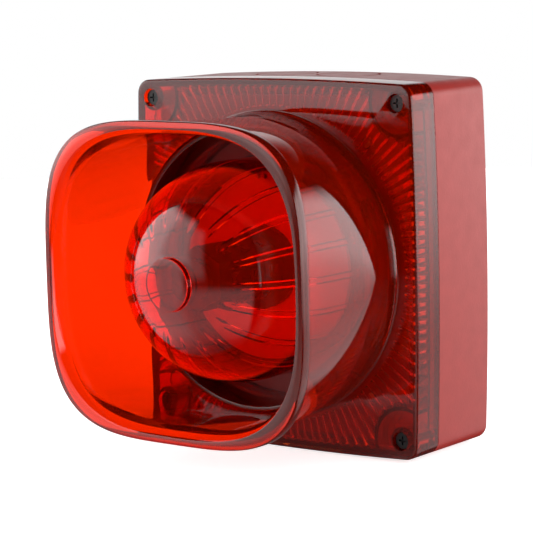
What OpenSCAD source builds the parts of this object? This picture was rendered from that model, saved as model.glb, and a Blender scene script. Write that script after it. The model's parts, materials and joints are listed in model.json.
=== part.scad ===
// Wall sounder beacon: a square two-part housing with a central horn and a domed beacon lens.
// Everything is drawn in wall coordinates: X to the right, Y up the wall, Z out from the wall.
// from_wall() then turns that frame so that the front faces -Y and the top faces +Z.

/* [Housing] */
// Width of the housing at its corners
body_w = 106; // [98:1:116]
// Height of the housing at its corners
body_h = 113; // [105:1:122]
// How far each side bows outwards at its middle
side_bow = 1.1; // [0.5:0.1:1.5]
// Radius of the housing's four corners
corner_r = 4.5; // [3.5:0.5:6]
// Depth of the back box, from the wall to the seam
base_depth = 28.4; // [28:0.2:30]
// Depth of the front cover, from the seam to its face
cover_depth = 12; // [12:0.5:13]
// Wall thickness of the back box and the cover
wall = 2.5; // [2.2:0.1:2.8]

/* [Horn] */
// Radius of the horn's round foot on the cover
foot_r = 48; // [47.5:0.1:49]
// Height of that foot above the cover's face
foot_h = 2.5; // [2:0.1:3]
// Outside radius of the round neck
neck_r = 46.5; // [46.2:0.1:46.8]
// How far the mouth stands out from the cover's face
horn_reach = 50; // [46:1:56]
// Half width of the rounded-square mouth
mouth_half_w = 49; // [48:0.5:52]
// Half height of the rounded-square mouth
mouth_half_h = 47.8; // [47:0.1:51]
// Squareness of the mouth's outline, 2 is an ellipse
mouth_power = 3.6; // [3:0.1:4.5]

/* [Beacon] */
// Outside radius of the dome at its foot
dome_r = 34; // [32:0.5:34.5]
// How far the dome's nose stands out from the cover's face
dome_reach = 50.8; // [48:0.2:56]
// Radius of the flat disc on the dome's nose
nose_r = 8; // [6:0.5:9]
// Number of lengthwise ribs inside the dome
dome_ribs = 20; // [12:2:24]

/* [Fasteners] */
// Distance between the cover screws across the housing
screw_pitch_x = 94.4; // [94:0.1:95]
// Distance between the cover screws up the housing
screw_pitch_y = 101.6; // [101:0.1:102]
// Distance between the wall fixing holes across the housing
fixing_pitch_x = 60; // [56:1:64]
// Distance between the wall fixing holes up the housing
fixing_pitch_y = 72; // [68:1:76]
// Radius of the wall fixing holes
fixing_hole_r = 2.3; // [2:0.1:2.6]

/* [Cable entries] */
// Radius of the knock-outs in the top and bottom walls
knockout_r = 10.2; // [8:0.1:10.4]
// Distance of each knock-out from the housing's middle
knockout_x = 12; // [11.5:0.1:14]
// Radius of the cable hole through the rear grommet
grommet_bore_r = 4; // [3:0.5:5]
// Distance of the rear cable hole below the housing's middle
grommet_drop = 22; // [18:1:24]

/* [Hidden] */

RED = [0.85, 0.06, 0.03];
BLACK = [0.06, 0.06, 0.06];
RUBBER = [0.2, 0.2, 0.21];
BRASS = [0.75, 0.6, 0.25];
STEEL = [0.6, 0.6, 0.62];
BOARD = [0.05, 0.3, 0.12];
WHITE = [0.9, 0.9, 0.88];
BLUE = [0.1, 0.25, 0.6];

$fn = 72;
eps = 0.01;
face_z = base_depth + cover_depth;
floor_t = 3;

// Corner screws: 1 and 2 at the top, left then right, 3 and 4 at the bottom
screw_x = screw_pitch_x / 2;
screw_y = screw_pitch_y / 2;
SCREWS = [[-screw_x, screw_y], [screw_x, screw_y], [-screw_x, -screw_y], [screw_x, -screw_y]];
screw_r = 1.5;
head_r = 2.5;
head_h = 1.8;
head_z = face_z - 3;
screw_len = 18;
seal_t = 0.8;
insert_r = 2.4;
insert_z = 18.4;
insert_len = 8;
post_r = 4.2;
grommet_r = 8;

// The gasket line: inside the walls, and round each corner screw
gasket_t = 2.4;
gasket_h = 3.6;
gasket_gap = wall + 0.3;
pocket_r = 9.2;
pocket_t = 1.2;

// The horn's levels above the wall, and its bore
spigot_z = face_z - 4;
spigot_r = 45.4;
bore_low_r = 43.2;
bore_r = 44.3;
step_z = face_z + 1;
neck_z = face_z + 10;
flare_straight = 0.6;
rim_z = face_z + horn_reach;
rim_bead = 2;
rim_depth = 4;
rim_face = 2.2;
bell_depth = 8;
horn_wall = 2.3;
seal_in_r = 46.1;
seal_out_r = 47.3;
seal_depth = 1.1;
seal_slack = 0.06;

// The chassis and what stands on it
chassis_z = face_z - 7;
chassis_t = 2;
boss_r = 2.6;
boss_ring_r = 52.4;
sound_hole_r = 17.5;
seat_z = face_z - 2;
seat_t = 2;
dome_z = face_z;
dome_wall = 2;
throat_r = 44.1;
throat_in_r = 42.3;
throat_top = face_z + 12.5;
led_board_z = face_z + 3;
leds_per_row = 6;

// The driver, from its gasket back towards the wall
driver_gasket_t = 1;
clamp_z = chassis_z - driver_gasket_t - 2;
flange_z = clamp_z - 2.5;
top_plate_z = flange_z - 3.9;
magnet_z = top_plate_z - 7;
back_plate_z = magnet_z - 2.5;
driver_r = 25;
driver_bolt_r = 22.4;
motor_r = 18;
frame_r = motor_r + 1.8;
frame_gap = 0.05;
pole_r = 7.9;
gap_r = 9;
coil_r = 8.45;
coil_t = 0.5;
diaphragm_r = 18;

// The control board, which faces the wall
board_z = 20.4;
board_t = 1.6;
board_w = 84;
board_h = 92;
board_hole_r = 21;
board_post_x = 36;
board_post_y = 28;
self_tapper_r = 1.1;
terminal_pitch = 5;
terminal_ways = 4;
terminal_y = -37.2;
terminal_depth = 9;
clamp_z_low = 15.3;
clamp_len = 4.2;
dip_ways = 5;
dip_pitch = 2.54;
dip_x = -30;
dip_y = 8;
dip_h = 3.2;
slider_travel = 1.6;
trimmer_x = 28;
trimmer_y = 8;
link_y = 28;
link_pitch = 2.54;

// Turns the wall coordinates so that the front faces -Y and the top faces +Z
module from_wall() {
    rotate([90, 0, 0]) children();
}

// Points of a rectangle with rounded corners and bowed sides
function bowed_side(half, reach, bow, turn, n) = [
    for (i = [0 : n - 1]) let (s = -1 + 2 * i / n)
        turned([half + bow * (1 - s * s), s * reach], turn)
];
function rounded_corner(half, reach, r, turn, n) = [
    for (i = [0 : n - 1]) let (a = 90 * i / n)
        turned([half - r + r * cos(a), reach - r + r * sin(a)], turn)
];
function turned(p, turn) = turn == 0 ? p : turn == 1 ? [-p[1], p[0]]
    : turn == 2 ? [-p[0], -p[1]] : [p[1], -p[0]];
function bowed_outline(w, h, r, bow) = [
    for (turn = [0 : 3]) let (half = turn % 2 == 0 ? w / 2 : h / 2, reach = turn % 2 == 0 ? h / 2 : w / 2)
        each concat(bowed_side(half, reach - r, bow, turn, 8), rounded_corner(half, reach, r, turn, 5))
];

// The housing's outline, moved inwards by t
module outline(t) {
    polygon(bowed_outline(body_w - 2 * t, body_h - 2 * t, max(corner_r - t, 0.6), side_bow));
}

module at_screws() {
    for (p = SCREWS) translate([p[0], p[1], 0]) children();
}

// The outline moved inwards by t, less a round pocket of radius r at each corner screw
module pocketed_outline(t, r) {
    difference() {
        outline(t);
        for (p = SCREWS) translate(p) circle(r);
    }
}

module tube(r_out, r_in, h) {
    difference() {
        cylinder(r = r_out, h = h);
        translate([0, 0, -eps]) cylinder(r = r_in, h = h + 2 * eps);
    }
}

// ---- Back box ----

module back_box() {
    from_wall() color(RED) difference() {
        linear_extrude(base_depth) outline(0);
        box_cavity();
        at_screws() translate([0, 0, insert_z]) cylinder(r = insert_r, h = base_depth);
        at_screws() translate([0, 0, floor_t + 8]) cylinder(r = screw_r + 0.3, h = base_depth);
        for (x = [-1, 1], y = [-1, 1])
            translate([x * fixing_pitch_x / 2, y * fixing_pitch_y / 2, -eps])
                cylinder(r = fixing_hole_r, h = floor_t + 2 * eps);
        translate([0, -grommet_drop, -eps]) cylinder(r = grommet_r, h = floor_t + 2 * eps);
        for (side = [-1, 1], x = [-1, 1]) knockout_groove(side, x * knockout_x);
    }
}

// Dry space inside, with a narrower land for the gasket at the seam, and four corner pockets
module box_cavity() {
    land_h = 4;
    translate([0, 0, floor_t]) linear_extrude(base_depth - land_h - floor_t)
        pocketed_outline(wall, pocket_r + gasket_t + 0.3);
    translate([0, 0, base_depth - land_h - eps]) linear_extrude(land_h + 2 * eps)
        pocketed_outline(gasket_gap + gasket_t + 0.3, pocket_r + gasket_t + 0.3);
    translate([0, 0, floor_t]) linear_extrude(base_depth) difference() {
        intersection() {
            outline(wall);
            for (p = SCREWS) translate(p) circle(pocket_r - 0.3);
        }
        for (p = SCREWS) translate(p) circle(post_r);
    }
}

// A thin ring cut into the top or bottom wall marks a cable entry to be knocked out
module knockout_groove(side, x) {
    translate([x, side * (body_h / 2 + side_bow), base_depth / 2]) rotate([90, 0, 0])
        translate([0, 0, -1.2]) tube(knockout_r, knockout_r - 0.8, 2.4);
}

module box_inserts() {
    from_wall() color(BRASS) at_screws() translate([0, 0, insert_z])
        tube(insert_r, screw_r + 0.05, insert_len);
}

module rear_grommet() {
    from_wall() color(RUBBER) translate([0, -grommet_drop, 0]) difference() {
        union() {
            cylinder(r = grommet_r, h = floor_t);
            translate([0, 0, floor_t]) cylinder(r = grommet_r + 2, h = 1.6);
            translate([0, 0, floor_t + 1.6]) cylinder(r1 = grommet_r, r2 = grommet_r - 2, h = 3);
        }
        translate([0, 0, -eps]) cylinder(r = grommet_bore_r, h = floor_t + 4.6 + 2 * eps);
    }
}

// ---- Front cover and its seals ----

// Radial flutes: a toothed ring whose teeth run out to the walls
function flute_points(count, r_in, r_out) = [
    for (i = [0 : count - 1], k = [0 : 3])
        let (a = (i + [0, 0, 0.5, 0.5][k]) * 360 / count, r = [r_in, r_out, r_out, r_in][k])
            [r * cos(a), r * sin(a)]
];

module front_cover() {
    opening_r = spigot_r + 0.2;
    flute_h = 0.6;
    from_wall() color(RED) difference() {
        union() {
            translate([0, 0, base_depth]) difference() {
                linear_extrude(cover_depth) outline(0);
                translate([0, 0, -eps]) linear_extrude(cover_depth - wall + eps) outline(wall);
            }
            gasket_ledge();
            screw_pockets();
            at_screws() translate([0, 0, base_depth]) cylinder(r = post_r, h = cover_depth);
            translate([0, 0, face_z - wall - flute_h]) linear_extrude(flute_h + eps) flutes();
            at_bosses() translate([0, 0, chassis_z + chassis_t]) cylinder(r = boss_r, h = 4);
        }
        cylinder(r = opening_r, h = face_z + 1);
        at_screws() cylinder(r = screw_r + 0.3, h = face_z + 1);
        at_screws() translate([0, 0, head_z - seal_t]) cylinder(r = head_r + 0.35, h = face_z);
        at_bosses() translate([0, 0, chassis_z]) cylinder(r = self_tapper_r, h = 4.2);
    }
}

// The ledge inside the cover that presses on the gasket
module gasket_ledge() {
    ledge_t = 1;
    translate([0, 0, base_depth + gasket_h]) linear_extrude(ledge_t) difference() {
        outline(wall - eps);
        pocketed_outline(gasket_gap + gasket_t, pocket_r + gasket_t);
    }
}

// Thin walls from that ledge up to the face, round each corner screw
module screw_pockets() {
    translate([0, 0, base_depth + gasket_h]) linear_extrude(cover_depth - gasket_h - eps)
        intersection() {
            outline(wall - eps);
            for (p = SCREWS) translate(p) difference() {
                circle(pocket_r + pocket_t);
                circle(pocket_r);
            }
        }
}

// The band that the gasket follows, just inside the walls and round the screws
module gasket_line() {
    difference() {
        pocketed_outline(gasket_gap, pocket_r);
        pocketed_outline(gasket_gap + gasket_t, pocket_r + gasket_t);
    }
}

module flutes() {
    difference() {
        intersection() {
            pocketed_outline(wall - eps, pocket_r + pocket_t - eps);
            polygon(flute_points(120, spigot_r + 1.2, body_w));
        }
        circle(spigot_r + 0.2);
    }
}

module at_bosses() {
    a = atan2(screw_y, screw_x);
    for (turn = [a, 180 - a, 180 + a, -a]) rotate(turn) translate([boss_ring_r, 0, 0]) children();
}

module cover_gasket() {
    from_wall() color(RUBBER) translate([0, 0, base_depth]) linear_extrude(gasket_h) gasket_line();
}

// ---- Horn: rings of points, from the spigot up the outside and back down the inside ----

ring_steps = 72;
loft_steps = 8;

// Distance from the axis to a superellipse of half sizes a and b, in direction t
function reach_at(t, a, b, power) =
    pow(pow(abs(cos(t)) / a, power) + pow(abs(sin(t)) / b, power), -1 / power);
function ring(z, a, b, power) = [
    for (i = [0 : ring_steps - 1]) let (t = i * 360 / ring_steps, r = reach_at(t, a, b, power))
        [r * cos(t), r * sin(t), z]
];
function mix(a, b, t) = a + (b - a) * t;
function ease(t) = t * t * (3 - 2 * t);

// Rings of one skin between the round neck and the mouth, inset from the rim's outline
function flare(z0, z1, r0, inset, power) = [
    for (i = [0 : loft_steps]) let (t = i / loft_steps, e = mix(ease(t), t, flare_straight))
        ring(mix(z0, z1, t), mix(r0, mouth_half_w - inset, e), mix(r0, mouth_half_h - inset, e),
            mix(2, power, e))
];
function rim_ring(z, inset, power) = ring(z, mouth_half_w - inset, mouth_half_h - inset, power);
function round_rings(points) = [for (p = points) ring(p[0], p[1], p[1], 2)];

foot_top = face_z + foot_h;
fillet = foot_r - neck_r - 0.3;
inner_inset = rim_bead + horn_wall;
inner_power = mouth_power - 0.7;
face_power = mouth_power - 0.6;

// The bell mouth: from the small round at the rim's face down to the inner wall, ever steeper
rim_round = 0.3;
bell_steps = 5;
bell_rings = [for (i = [0 : bell_steps - 1]) let (t = i / bell_steps, e = 1 - (1 - t) * (1 - t))
    rim_ring(rim_z - rim_round - (bell_depth - rim_round) * t,
        mix(rim_face + rim_round, inner_inset, e), mix(face_power, inner_power, e))];
inner_flare = flare(neck_z, rim_z - bell_depth, bore_r, inner_inset, inner_power);
horn_rings = concat(
    round_rings([[spigot_z, spigot_r], [face_z, spigot_r], [face_z, seal_in_r],
        [face_z + seal_depth, seal_in_r], [face_z + seal_depth, seal_out_r],
        [face_z, seal_out_r], [face_z, foot_r], [foot_top - 0.3, foot_r], [foot_top, foot_r - 0.3]]),
    round_rings([for (a = [30 : 30 : 90])
        [foot_top + fillet * (1 - cos(a)) * 1.6, neck_r + fillet * (1 - sin(a))]]),
    flare(neck_z, rim_z - rim_depth - 1.2, neck_r, rim_bead, mouth_power - 0.3),
    [rim_ring(rim_z - rim_depth, 0.3, mouth_power), rim_ring(rim_z - rim_depth + 0.4, 0, mouth_power),
        rim_ring(rim_z - 0.5, 0, mouth_power), rim_ring(rim_z, 0.5, mouth_power),
        rim_ring(rim_z, rim_face, face_power)],
    bell_rings,
    [for (i = [loft_steps : -1 : 0]) inner_flare[i]],
    round_rings([[step_z, bore_r], [step_z, bore_low_r], [spigot_z, bore_low_r]])
);

module horn() {
    n = ring_steps;
    count = len(horn_rings);
    from_wall() color(RED) polyhedron(
        points = [for (loop = horn_rings) each loop],
        faces = [for (k = [0 : count - 1], i = [0 : n - 1])
            let (a = k * n, b = ((k + 1) % count) * n, j = (i + 1) % n)
                [a + i, b + i, b + j, a + j]]
    );
}

module horn_seal() {
    from_wall() color(RUBBER) translate([0, 0, face_z])
        tube(seal_out_r - seal_slack, seal_in_r, seal_depth);
}

// Clamps the horn's inner ledge down on the chassis, and lines the throat
module throat_ring() {
    from_wall() color(RED) rotate_extrude() polygon([
        [throat_in_r - 1.1, chassis_z + chassis_t], [bore_low_r - 0.3, chassis_z + chassis_t],
        [bore_low_r - 0.3, step_z], [throat_r, step_z], [throat_r, throat_top],
        [throat_in_r + 0.3, throat_top], [throat_in_r - 1.1, face_z + 3.5]
    ]);
}

// ---- Beacon ----

dome_bend = 12;
dome_power = 2.45;
dome_top = dome_reach - 1.4;

// Points of the dome's profile from its foot to its crown, inset by t from the outer skin
function dome_profile(t) = [
    for (i = [0 : 14]) let (a = 90 * i / 14)
        [i == 14 ? 0 : (dome_r - t) * pow(cos(a), 2 / dome_power),
            face_z + dome_bend + (dome_top - dome_bend - t) * pow(sin(a), 2 / dome_power)]
];
function reversed(v) = [for (i = [len(v) - 1 : -1 : 0]) v[i]];

module beacon_dome() {
    from_wall() color(RED) union() {
        rotate_extrude() polygon(concat([[dome_r, dome_z]], dome_profile(0),
            reversed(dome_profile(dome_wall)), [[dome_r - dome_wall, dome_z]]));
        translate([0, 0, face_z + dome_top - 0.8]) cylinder(r = nose_r, h = dome_reach - dome_top + 0.8);
        for (i = [0 : dome_ribs - 1]) rotate(i * 360 / dome_ribs) dome_rib();
    }
}

module dome_rib() {
    rib_t = 1.3;
    rib_foot = dome_z + 2;
    outer = [for (p = dome_profile(dome_wall - 0.4)) if (p[0] > nose_r) p];
    inner = [for (p = dome_profile(dome_wall + 0.9)) if (p[0] > nose_r) p];
    rotate([90, 0, 0]) translate([0, 0, -rib_t / 2]) linear_extrude(rib_t)
        polygon(concat([[outer[0][0], rib_foot]], outer, reversed(inner), [[inner[0][0], rib_foot]]));
}

module dome_seat() {
    from_wall() color(BLACK) difference() {
        union() {
            translate([0, 0, seat_z]) cylinder(r = dome_r + 0.4, h = seat_t);
            translate([0, 0, dome_z]) tube(dome_r - dome_wall - 1.2, dome_r - dome_wall - 2.2, 1.4);
        }
        link_holes();
    }
}

module link_holes() {
    for (x = [-1, 1]) translate([x * link_pitch / 2, link_y, 0]) cylinder(r = 0.8, h = face_z + 6);
}

module led_board() {
    from_wall() color(WHITE) translate([0, 0, led_board_z]) difference() {
        cylinder(r = dome_r - dome_wall - 2.2, h = 1.2);
        translate([0, 0, -led_board_z]) link_holes();
    }
}

module led_spacers() {
    from_wall() color(WHITE) for (a = [30, 150, 270]) rotate(a) translate([24, 0, dome_z])
        cylinder(r = 2.2, h = led_board_z - dome_z);
}

tower_r = 10;
tower_z = led_board_z + 1.2;
tower_h = 32;
led_rows = 3;
led_row_pitch = 9;

module led_tower() {
    from_wall() color(BLACK) translate([0, 0, tower_z]) union() {
        cylinder(r = tower_r + 3, h = 2);
        rotate(30) cylinder(r = tower_r, h = tower_h, $fn = 6);
        translate([0, 0, tower_h - 1]) cylinder(r = tower_r * 0.6, h = 3);
    }
}

module beacon_leds() {
    flat = tower_r * cos(30);
    chip = 3.5;
    from_wall() color(WHITE)
        for (row = [0 : led_rows - 1], i = [0 : leds_per_row - 1]) rotate(i * 360 / leds_per_row)
            translate([flat, -chip / 2, tower_z + 5 + row * led_row_pitch]) led_chip(chip);
}

module led_chip(size) {
    union() {
        cube([0.8, size, size]);
        translate([0.8, size / 2, size / 2]) rotate([0, 90, 0]) cylinder(r = size * 0.36, h = 0.5);
    }
}

// ---- Chassis and driver ----

module sound_chassis() {
    rib_h = seat_z - chassis_z - chassis_t;
    from_wall() color(BLACK) difference() {
        union() {
            translate([0, 0, chassis_z]) linear_extrude(chassis_t)
                pocketed_outline(gasket_gap + gasket_t + 0.3, pocket_r + gasket_t + 0.3);
            at_board_posts() translate([0, 0, board_z + board_t])
                cylinder(r = 3, h = chassis_z + eps - board_z - board_t);
            for (i = [0 : 5]) rotate(30 + 60 * i) translate([19, -1, chassis_z + chassis_t - eps])
                cube([dome_r - 20, 2, rib_h + eps]);
        }
        cylinder(r = sound_hole_r, h = face_z);
        at_bosses() cylinder(r = self_tapper_r, h = face_z);
        at_board_posts() translate([0, 0, board_z]) cylinder(r = self_tapper_r, h = 9);
        at_driver_bolts() translate([0, 0, chassis_z - 1]) cylinder(r = screw_r, h = 2.4);
        link_holes();
    }
}

module at_board_posts() {
    for (x = [-1, 1], y = [-1, 1]) translate([x * board_post_x, y * board_post_y, 0]) children();
}

module at_driver_bolts() {
    for (a = [0 : 90 : 270]) rotate(a) translate([driver_bolt_r, 0, 0]) children();
}

// A pan-head screw whose shank points up from z = 0 and whose head hangs below it
module pan_screw(r, len, head, cap) {
    difference() {
        union() {
            cylinder(r = r, h = len);
            translate([0, 0, -cap]) cylinder(r = head, h = cap);
        }
        translate([0, 0, -cap]) cross_recess(head);
    }
}

module cross_recess(head) {
    for (a = [0, 90]) rotate(a)
        translate([-head * 0.55, -head * 0.11, -eps]) cube([head * 1.1, head * 0.22, 0.8]);
}

module chassis_screws() {
    from_wall() color(STEEL) at_bosses() translate([0, 0, chassis_z]) pan_screw(self_tapper_r, 4.2, 2.1, 1.4);
}

module driver_gasket() {
    from_wall() color(RUBBER) translate([0, 0, chassis_z - driver_gasket_t])
        driver_ring(diaphragm_r + 0.3, driver_gasket_t);
}

module diaphragm_clamp() {
    from_wall() color(BLACK) translate([0, 0, clamp_z]) driver_ring(diaphragm_r + 0.3, 2);
}

// A ring with the driver's four bolt holes
module driver_ring(r_in, h) {
    difference() {
        tube(driver_r, r_in, h);
        at_driver_bolts() translate([0, 0, -eps]) cylinder(r = screw_r, h = h + 2 * eps);
    }
}

module driver_frame() {
    from_wall() color(BLACK) union() {
        translate([0, 0, flange_z]) driver_ring(diaphragm_r + 0.3, clamp_z - flange_z);
        translate([0, 0, top_plate_z])
            tube(frame_r, motor_r + frame_gap, flange_z - top_plate_z + eps);
        translate([0, 0, flange_z - 1.2]) tube(frame_r, motor_r - 1, 1.2);
    }
}

module driver_top_plate() {
    from_wall() color(STEEL) translate([0, 0, top_plate_z]) tube(motor_r, gap_r, 2.5);
}

module driver_magnet() {
    from_wall() color(BLACK) translate([0, 0, magnet_z]) tube(motor_r, gap_r + 1.5, top_plate_z - magnet_z);
}

module driver_back_plate() {
    from_wall() color(STEEL) union() {
        translate([0, 0, back_plate_z]) cylinder(r = motor_r, h = magnet_z - back_plate_z);
        translate([0, 0, magnet_z - eps]) cylinder(r = pole_r, h = top_plate_z + 2.5 - magnet_z);
    }
}

module driver_screws() {
    from_wall() color(STEEL) at_driver_bolts() translate([0, 0, flange_z])
        pan_screw(screw_r, chassis_z + 1.4 - flange_z, head_r, 1.6);
}

module driver_tags() {
    tag_w = 1.6;
    tag_t = 0.4;
    tag_len = 3.8;
    tag_z = top_plate_z + 1;
    foot_z = board_z + board_t;
    from_wall() color(BRASS) for (side = [0, 180]) rotate(90 + side) union() {
        translate([frame_r, -tag_w / 2, tag_z]) cube([tag_len, tag_w, tag_t]);
        translate([frame_r + tag_len - tag_t, -tag_w / 2, foot_z])
            cube([tag_t, tag_w, tag_z + tag_t - foot_z]);
    }
}

module diaphragm() {
    skin = 0.4;
    rise = [[0, 3.2], [4, 2.6], [7, 1.4], [8.7, 0.3], [12, 1.4], [15.5, 1.3], [diaphragm_r, 0.1]];
    from_wall() color(BLACK) translate([0, 0, clamp_z - 0.6]) rotate_extrude()
        polygon(concat(rise, reversed([for (p = rise) p - [0, skin]])));
}

module voice_coil() {
    from_wall() color(BRASS) translate([0, 0, top_plate_z + 0.4])
        tube(coil_r + coil_t / 2, coil_r - coil_t / 2, clamp_z - 0.7 - top_plate_z - 0.4);
}

// ---- Control board ----

module main_board() {
    from_wall() color(BOARD) translate([0, 0, board_z]) linear_extrude(board_t) difference() {
        square([board_w, board_h], center = true);
        for (p = SCREWS) translate(p) circle(pocket_r + gasket_t + 2);
        circle(board_hole_r);
        at_board_posts() circle(1.3);
    }
}

module board_screws() {
    from_wall() color(STEEL) at_board_posts() translate([0, 0, board_z])
        pan_screw(self_tapper_r, 8, 2.2, 1.5);
}

module led_link_pins() {
    pin_r = 0.4;
    pin_z = board_z + board_t;
    from_wall() color(BRASS) union() {
        for (x = [-1, 1]) translate([x * link_pitch / 2, link_y, pin_z])
            cylinder(r = pin_r, h = led_board_z + 2 - pin_z);
        translate([-link_pitch, link_y - link_pitch / 2, pin_z]) cube([2 * link_pitch, link_pitch, 2.5]);
    }
}

module capacitors() {
    can_r = 4;
    can_h = 8.6;
    can_x = 32;
    from_wall() color(BLUE) for (y = [-14, -4]) translate([can_x, y, board_z - can_h])
        cylinder(r = can_r, h = can_h);
}

module inductor() {
    from_wall() color(BLACK) translate([-31, -8, board_z - 6]) union() {
        cylinder(r = 5, h = 1.2);
        translate([0, 0, 1]) cylinder(r = 3.6, h = 4);
        translate([0, 0, 4.8]) cylinder(r = 5, h = 1.2);
    }
}

module control_chip() {
    chip_w = 8;
    chip_h = 6;
    leg_pitch = 1.1;
    leg = [0.5, 1.4, 0.6];
    from_wall() color(BLACK) translate([18, 30, board_z - 1.6]) union() {
        translate([-chip_w / 2, -chip_h / 2, 0]) cube([chip_w, chip_h, 1.4]);
        for (side = [-1, 1], i = [-3 : 3])
            translate([i * leg_pitch - leg[0] / 2, side * 3.5 - leg[1] / 2, 1]) cube(leg);
    }
}

module dip_switch() {
    body_x = 6.6;
    body_y = dip_ways * dip_pitch + 1.6;
    from_wall() color(BLUE) translate([dip_x, dip_y, board_z - dip_h]) difference() {
        translate([-body_x / 2, -body_y / 2, 0]) cube([body_x, body_y, dip_h]);
        for (i = [1 : dip_ways]) translate([-1.8, dip_row(i) - 0.8, -eps]) cube([3.6, 1.6, 1.4]);
    }
}

function dip_row(i) = (i - (dip_ways + 1) / 2) * dip_pitch;

module dip_slider(i) {
    from_wall() color(WHITE) translate([dip_x - 1.6, dip_y + dip_row(i) - 0.6, board_z - dip_h - 0.7])
        cube([3.2 - slider_travel, 1.2, 1.9]);
}

module dip_slider_1() { dip_slider(1); }
module dip_slider_2() { dip_slider(2); }
module dip_slider_3() { dip_slider(3); }
module dip_slider_4() { dip_slider(4); }
module dip_slider_5() { dip_slider(5); }

rotor_r = 2;

module volume_trimmer() {
    from_wall() color(BLUE) translate([trimmer_x, trimmer_y, board_z - 4]) difference() {
        translate([-3.3, -3.3, 0]) cube([6.6, 6.6, 4]);
        translate([0, 0, -eps]) cylinder(r = rotor_r + 0.08, h = 2.3);
    }
}

module volume_rotor() {
    from_wall() color(WHITE) translate([trimmer_x, trimmer_y, board_z - 4.5]) difference() {
        cylinder(r = rotor_r, h = 2.6);
        translate([-1.6, -0.3, -eps]) cube([3.2, 0.6, 0.8]);
    }
}

function terminal_x(i) = (i - (terminal_ways + 1) / 2) * terminal_pitch;

module terminal_block() {
    from_wall() color(BLACK) difference() {
        translate([-terminal_ways * terminal_pitch / 2 - 0.5, terminal_y - 4, board_z - terminal_depth])
            cube([terminal_ways * terminal_pitch + 1, 8.4, terminal_depth]);
        for (i = [1 : terminal_ways]) translate([terminal_x(i), terminal_y, 0]) union() {
            translate([-1.95, -2.5, board_z - 6.6]) cube([3.9, 5, 6.3]);
            translate([-1.4, -4.1, clamp_z_low + 0.4]) cube([2.8, 2, 3.6]);
            translate([0, 0, board_z - terminal_depth - eps]) cylinder(r = 1.95, h = 3);
        }
    }
}

module terminal_screw(i) {
    from_wall() color(STEEL) translate([terminal_x(i), terminal_y, board_z - 6.7]) difference() {
        union() {
            translate([0, 0, -1.6]) cylinder(r = 1.7, h = 1.6);
            translate([0, 0, -eps]) cylinder(r = 0.9, h = 3.4);
        }
        translate([-1.8, -0.25, -1.6 - eps]) cube([3.6, 0.5, 0.7]);
    }
}

module terminal_screw_1() { terminal_screw(1); }
module terminal_screw_2() { terminal_screw(2); }
module terminal_screw_3() { terminal_screw(3); }
module terminal_screw_4() { terminal_screw(4); }

// A rising cage: its screw turns in place and pulls it up against the wire
module wire_clamp(i) {
    from_wall() color(BRASS) translate([terminal_x(i), terminal_y, clamp_z_low]) difference() {
        translate([-1.65, -2, 0]) cube([3.3, 4, clamp_len]);
        translate([-1.15, -2 - eps, 1]) cube([2.3, 4 + 2 * eps, 2.4]);
        translate([0, 0, -eps]) cylinder(r = 0.95, h = 1.5);
    }
}

module wire_clamp_1() { wire_clamp(1); }
module wire_clamp_2() { wire_clamp(2); }
module wire_clamp_3() { wire_clamp(3); }
module wire_clamp_4() { wire_clamp(4); }

// ---- Cover screws and the sealing washers under their heads ----

module screw_seal(i) {
    from_wall() color(RUBBER) translate([SCREWS[i - 1][0], SCREWS[i - 1][1], head_z - seal_t])
        tube(head_r, screw_r + 0.05, seal_t);
}

module screw_seal_1() { screw_seal(1); }
module screw_seal_2() { screw_seal(2); }
module screw_seal_3() { screw_seal(3); }
module screw_seal_4() { screw_seal(4); }

module cover_screw(i) {
    from_wall() color(BLACK) translate([SCREWS[i - 1][0], SCREWS[i - 1][1], head_z]) mirror([0, 0, 1])
        pan_screw(screw_r, screw_len, head_r, head_h);
}

module cover_screw_1() { cover_screw(1); }
module cover_screw_2() { cover_screw(2); }
module cover_screw_3() { cover_screw(3); }
module cover_screw_4() { cover_screw(4); }

back_box();
box_inserts();
rear_grommet();
front_cover();
cover_gasket();
horn();
horn_seal();
throat_ring();
beacon_dome();
dome_seat();
led_board();
led_spacers();
led_tower();
beacon_leds();
sound_chassis();
chassis_screws();
driver_gasket();
diaphragm_clamp();
driver_frame();
driver_top_plate();
driver_magnet();
driver_back_plate();
driver_screws();
driver_tags();
diaphragm();
voice_coil();
main_board();
board_screws();
led_link_pins();
capacitors();
inductor();
control_chip();
dip_switch();
dip_slider_1();
dip_slider_2();
dip_slider_3();
dip_slider_4();
dip_slider_5();
volume_trimmer();
volume_rotor();
terminal_block();
terminal_screw_1();
terminal_screw_2();
terminal_screw_3();
terminal_screw_4();
wire_clamp_1();
wire_clamp_2();
wire_clamp_3();
wire_clamp_4();
screw_seal_1();
screw_seal_2();
screw_seal_3();
screw_seal_4();
cover_screw_1();
cover_screw_2();
cover_screw_3();
cover_screw_4();
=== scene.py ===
"""Looks of the wall siren: clear red mouldings, seals, screws and inner parts, on a pale floor."""
import json
import math

import bmesh
import bpy
import numpy as np
from mathutils import Matrix, Vector


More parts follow.
